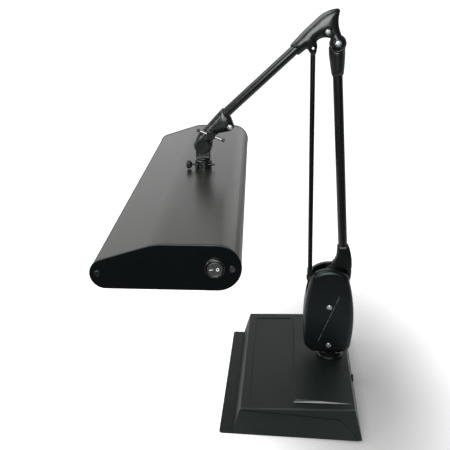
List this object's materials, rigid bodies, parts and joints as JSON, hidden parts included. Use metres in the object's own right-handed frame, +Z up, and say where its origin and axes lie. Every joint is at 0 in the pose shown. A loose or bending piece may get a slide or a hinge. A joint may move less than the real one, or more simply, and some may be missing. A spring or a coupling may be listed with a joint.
{
  "type": "piano lamp",
  "caption": "Desk and piano lamp: weighted base, swivelling spring housing, balanced parallel arm and a long flat LED shade on a tilting wrist.",
  "frame": {"origin": "on the arm's swivel axis, at the underside of the base", "axes": "+Z up along the swivel axis, +X towards the back of the base and away from the shade, +Y along the base's width and roughly along the shade"},
  "size_m": [0.3738, 0.6045, 0.6087],
  "materials": {
    "mat": "matte",
    "plate": "satin black",
    "cover": "fine grained",
    "screw": "zinc plated",
    "iron": "rough",
    "socket": "plain",
    "ring": "satin black",
    "nylon": "smooth",
    "inlet": "smooth",
    "post": "bright",
    "clamp": "satin black",
    "housing": "satin black",
    "frame": "plain",
    "bolt": "plain",
    "spring": "drawn wire",
    "casting": "satin black",
    "tube": "semi-gloss black",
    "fitting": "smooth",
    "blackbolt": "black oxide",
    "collar": "satin black",
    "shade": "satin black",
    "cap": "matte black",
    "capscrew": "blackened",
    "ledplate": "plain",
    "strips": "white",
    "driver": "white",
    "diffuser": "translucent white",
    "switch": "smooth black"
  },
  "bodies": {
    "base": {"rubber_mat": "mat", "base_plate": "plate", "base_cover": "cover", "cover_screws": "screw", "base_weight": "iron", "weight_screws": "screw", "post_socket": "socket", "socket_screws": "screw", "post_ring": "ring", "post_bush": "nylon", "power_inlet": "inlet"},
    "swivel": {"swivel_post": "post", "swivel_clamp": "clamp", "swivel_clamp_screw": "screw", "housing_cover_near": "housing", "housing_cover_far": "housing", "housing_screws": "screw", "spring_frame": "frame", "main_pivot_bolt": "bolt", "pivot_spacers": "nylon", "spring_anchor_pin": "bolt", "lower_arm_spring": "spring", "upper_arm_spring": "spring"},
    "lower_arm": {"boot_casting": "casting", "lower_tube": "tube", "lower_clevis": "casting"},
    "crank": {"crank_lever": "plate", "crank_pin": "bolt"},
    "tie_rod": {"tie_rod_tube": "tube", "rod_lower_fork": "fitting", "rod_upper_eye": "fitting"},
    "upper_arm": {"elbow_bracket": "casting", "elbow_bolt": "blackbolt", "elbow_clamp_screw": "screw", "tie_rod_pin": "bolt", "upper_tube": "tube", "wrist_casting": "casting", "wrist_tube_screw": "screw", "tilt_bolt": "blackbolt", "clamp_nut": "blackbolt"},
    "wrist_clamp": {"clamp_screw": "blackbolt", "clamp_handle": "blackbolt"},
    "knuckle": {"tilt_knuckle": "casting", "retaining_clip": "bolt"},
    "head": {"shade_collar": "collar", "collar_nut": "bolt", "shade_shell": "shade", "end_cap_near": "cap", "end_cap_far": "cap", "cap_screws": "capscrew", "led_plate": "ledplate", "led_strips": "strips", "led_driver": "driver", "diffuser": "diffuser", "switch_body": "switch"},
    "pinch": {"pinch_screw": "blackbolt"},
    "switch_rocker": {"rocker": "switch"}
  },
  "joints": [
    {"name": "base_swivel", "type": "hinge", "parent": "base", "child": "swivel", "pos_m": [0, 0, 0], "axis": [0, 0, 1], "range_deg": [-165, 165]},
    {"name": "lower_arm_pivot", "type": "hinge", "parent": "swivel", "child": "lower_arm", "pos_m": [-0.005, 0, 0.203], "axis": [0, 1, 0], "range_deg": [-35, 15], "deforming": ["lower_arm_spring"]},
    {"name": "elbow", "type": "hinge", "parent": "lower_arm", "child": "upper_arm", "pos_m": [-0.01797, 0, 0.56205], "axis": [0, 1, 0], "range_deg": [-15, 45]},
    {"name": "crank_pivot", "type": "hinge", "parent": "lower_arm", "child": "crank", "pos_m": [-0.005, 0, 0.203], "axis": [0, 1, 0], "range_deg": [-15, 45], "deforming": ["upper_arm_spring"]},
    {"name": "tie_rod_pivot", "type": "hinge", "parent": "crank", "child": "tie_rod", "pos_m": [-0.03928, 0, 0.19698], "axis": [0, 1, 0], "range_deg": [-45, 15]},
    {"name": "wrist_tilt", "type": "hinge", "parent": "upper_arm", "child": "knuckle", "pos_m": [-0.21006, 0, 0.41189], "axis": [0, 1, 0], "range_deg": [-30, 80]},
    {"name": "head_swivel", "type": "hinge", "parent": "knuckle", "child": "head", "pos_m": [-0.21006, 0, 0.38], "axis": [0, 0, 1], "range_deg": [-35, 35]},
    {"name": "clamp_turn", "type": "hinge", "parent": "upper_arm", "child": "wrist_clamp", "pos_m": [-0.19662, 0, 0.43001], "axis": [0, 1, 0], "range_deg": [-180, 180]},
    {"name": "pinch_turn", "type": "hinge", "parent": "head", "child": "pinch", "pos_m": [-0.20964, -0.00879, 0.38329], "axis": [0.9989, 0.0475, 0], "range_deg": [-180, 180]},
    {"name": "rocker_press", "type": "hinge", "parent": "head", "child": "switch_rocker", "pos_m": [-0.16075, -0.3003, 0.34929], "axis": [0, 0, 1], "range_deg": [-16, 0]}
  ],
  "couplings": [
    {"joint": "crank_pivot", "follows": "elbow", "ratio": 1},
    {"joint": "tie_rod_pivot", "follows": "elbow", "ratio": -1}
  ]
}
